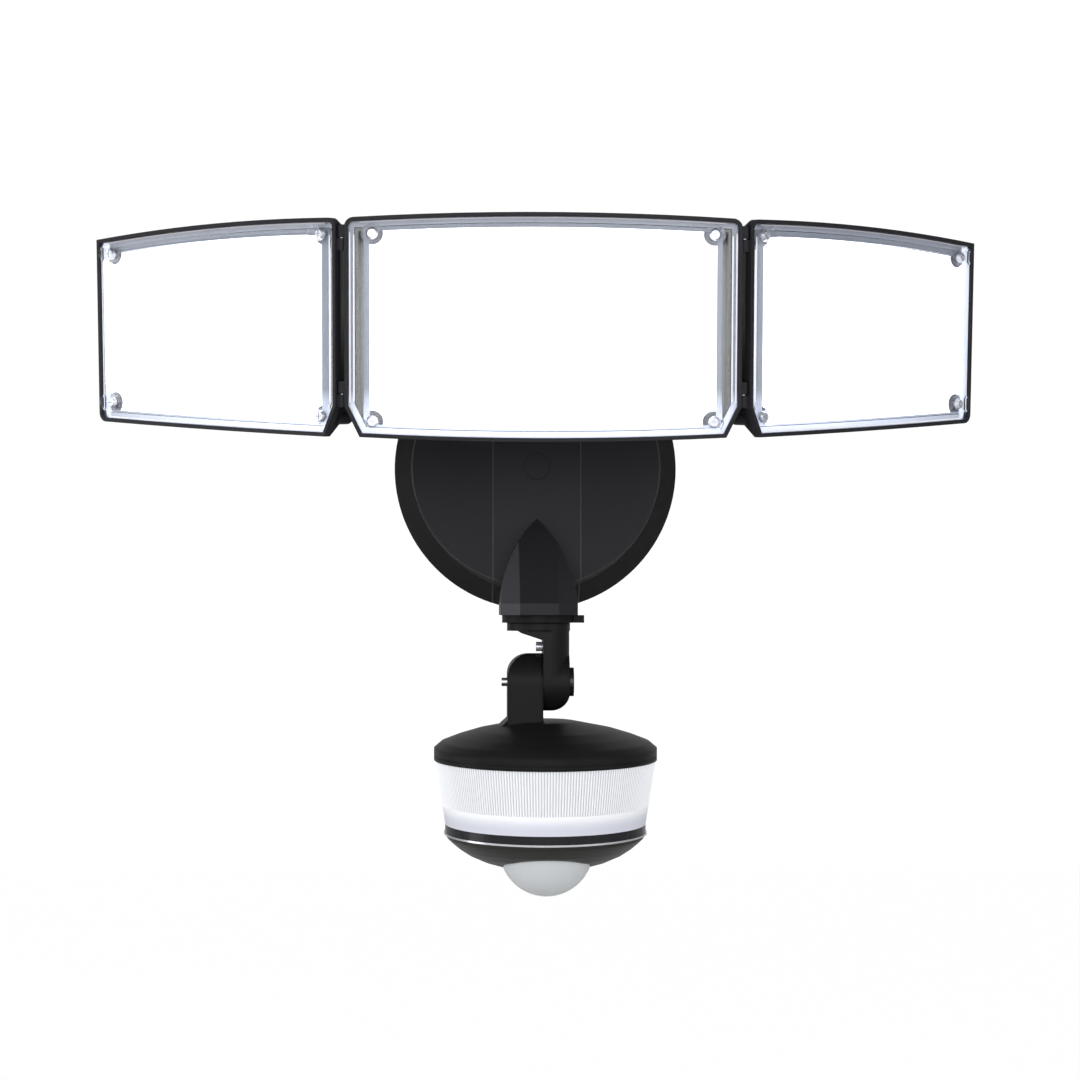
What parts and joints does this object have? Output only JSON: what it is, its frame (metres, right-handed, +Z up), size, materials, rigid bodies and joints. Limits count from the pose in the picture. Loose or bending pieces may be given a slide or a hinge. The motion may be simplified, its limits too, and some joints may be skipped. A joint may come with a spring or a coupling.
{
  "type": "motion sensor security light",
  "caption": "Wall-mounted outdoor security light with wide tilting LED heads, swing side heads and a drum motion sensor with a night-light ring on a swivel knuckle.",
  "frame": {"origin": "centre of the round canopy on the wall plane", "axes": "+X right seen from the front, +Y into the wall, +Z up"},
  "size_m": [0.3796, 0.137, 0.2797],
  "materials": {
    "black_plastic": "moulded black, light texture",
    "can": "metal can",
    "dial": "light grey dial",
    "diffuser": "milky diffuser sheet",
    "dome": "milky dome",
    "frost": "frosted diffuser",
    "led": "lit LED",
    "led_board": "white printed board",
    "lens": "clear polycarbonate cover",
    "module": "potted module",
    "reflector": "white reflector",
    "seal": "seal",
    "sensor_pcb": "green board",
    "steel": "zinc plated",
    "trim": "bright trim"
  },
  "bodies": {
    "canopy": {"canopy_housing": "black_plastic", "wall_gasket": "seal", "mounting_strap": "steel", "canopy_screw": "steel", "canopy_plug": "seal", "driver_module": "module", "terminal_block": "module", "head_arm": "black_plastic", "arm_screw": "steel", "tilt_bolt": "steel", "tilt_washers": "steel", "tilt_nut": "steel"},
    "center_head": {"center_housing": "black_plastic", "center_gasket": "seal", "center_lens": "lens", "center_screws": "steel", "center_reflector": "reflector", "center_diffuser": "diffuser", "center_board": "led_board", "center_leds": "led", "tilt_lug": "black_plastic", "left_hinge_pins": "steel", "right_hinge_pins": "steel"},
    "left_head": {"left_housing": "black_plastic", "left_gasket": "seal", "left_lens": "lens", "left_screws": "steel", "left_reflector": "reflector", "left_diffuser": "diffuser", "left_board": "led_board", "left_leds": "led"},
    "right_head": {"right_housing": "black_plastic", "right_gasket": "seal", "right_lens": "lens", "right_screws": "steel", "right_reflector": "reflector", "right_diffuser": "diffuser", "right_board": "led_board", "right_leds": "led"},
    "sensor_arm": {"swivel_collar": "black_plastic", "swivel_nut": "black_plastic", "sensor_stem": "black_plastic", "knuckle_bolt": "black_plastic", "lock_screw": "steel"},
    "sensor": {"sensor_cap": "black_plastic", "cap_oring": "seal", "night_core": "reflector", "night_strip": "led_board", "night_leds": "led", "night_ring": "frost", "dark_ring": "black_plastic", "trim_ring": "trim", "sensor_bowl": "black_plastic", "sensor_board": "sensor_pcb", "pir_element": "can", "photocell": "dome", "pir_dome": "dome"},
    "range_dial_body": {"range_dial": "dial"},
    "time_dial_body": {"time_dial": "dial"},
    "dusk_dial_body": {"dusk_dial": "dial"}
  },
  "joints": [
    {"name": "head_tilt", "type": "hinge", "parent": "canopy", "child": "center_head", "pos_m": [0, -0.088, 0.044], "axis": [1, 0, 0], "range_deg": [-20, 60]},
    {"name": "left_head_swivel", "type": "hinge", "parent": "center_head", "child": "left_head", "pos_m": [-0.0801, -0.12681, 0.04971], "axis": [0, -0.0958, 0.9954], "range_deg": [-12, 40]},
    {"name": "right_head_swivel", "type": "hinge", "parent": "center_head", "child": "right_head", "pos_m": [0.0801, -0.12681, 0.04971], "axis": [0, -0.0958, 0.9954], "range_deg": [-40, 12]},
    {"name": "sensor_swivel", "type": "hinge", "parent": "canopy", "child": "sensor_arm", "pos_m": [0, -0.058, -0.0647], "axis": [0, 0, 1], "range_deg": [-90, 90]},
    {"name": "sensor_tilt", "type": "hinge", "parent": "sensor_arm", "child": "sensor", "pos_m": [0.0017, -0.058, -0.093], "axis": [1, 0, 0], "range_deg": [-45, 12]},
    {"name": "range_dial_turn", "type": "hinge", "parent": "sensor", "child": "range_dial_body", "pos_m": [-0.0066, -0.04895, -0.17063], "axis": [0, -0.0523, 0.9986], "range_deg": [-135, 135]},
    {"name": "time_dial_turn", "type": "hinge", "parent": "sensor", "child": "time_dial_body", "pos_m": [0.0029, -0.04453, -0.1704], "axis": [0, -0.0523, 0.9986], "range_deg": [-135, 135]},
    {"name": "dusk_dial_turn", "type": "hinge", "parent": "sensor", "child": "dusk_dial_body", "pos_m": [0.0124, -0.04895, -0.17063], "axis": [0, -0.0523, 0.9986], "range_deg": [-135, 135]}
  ]
}
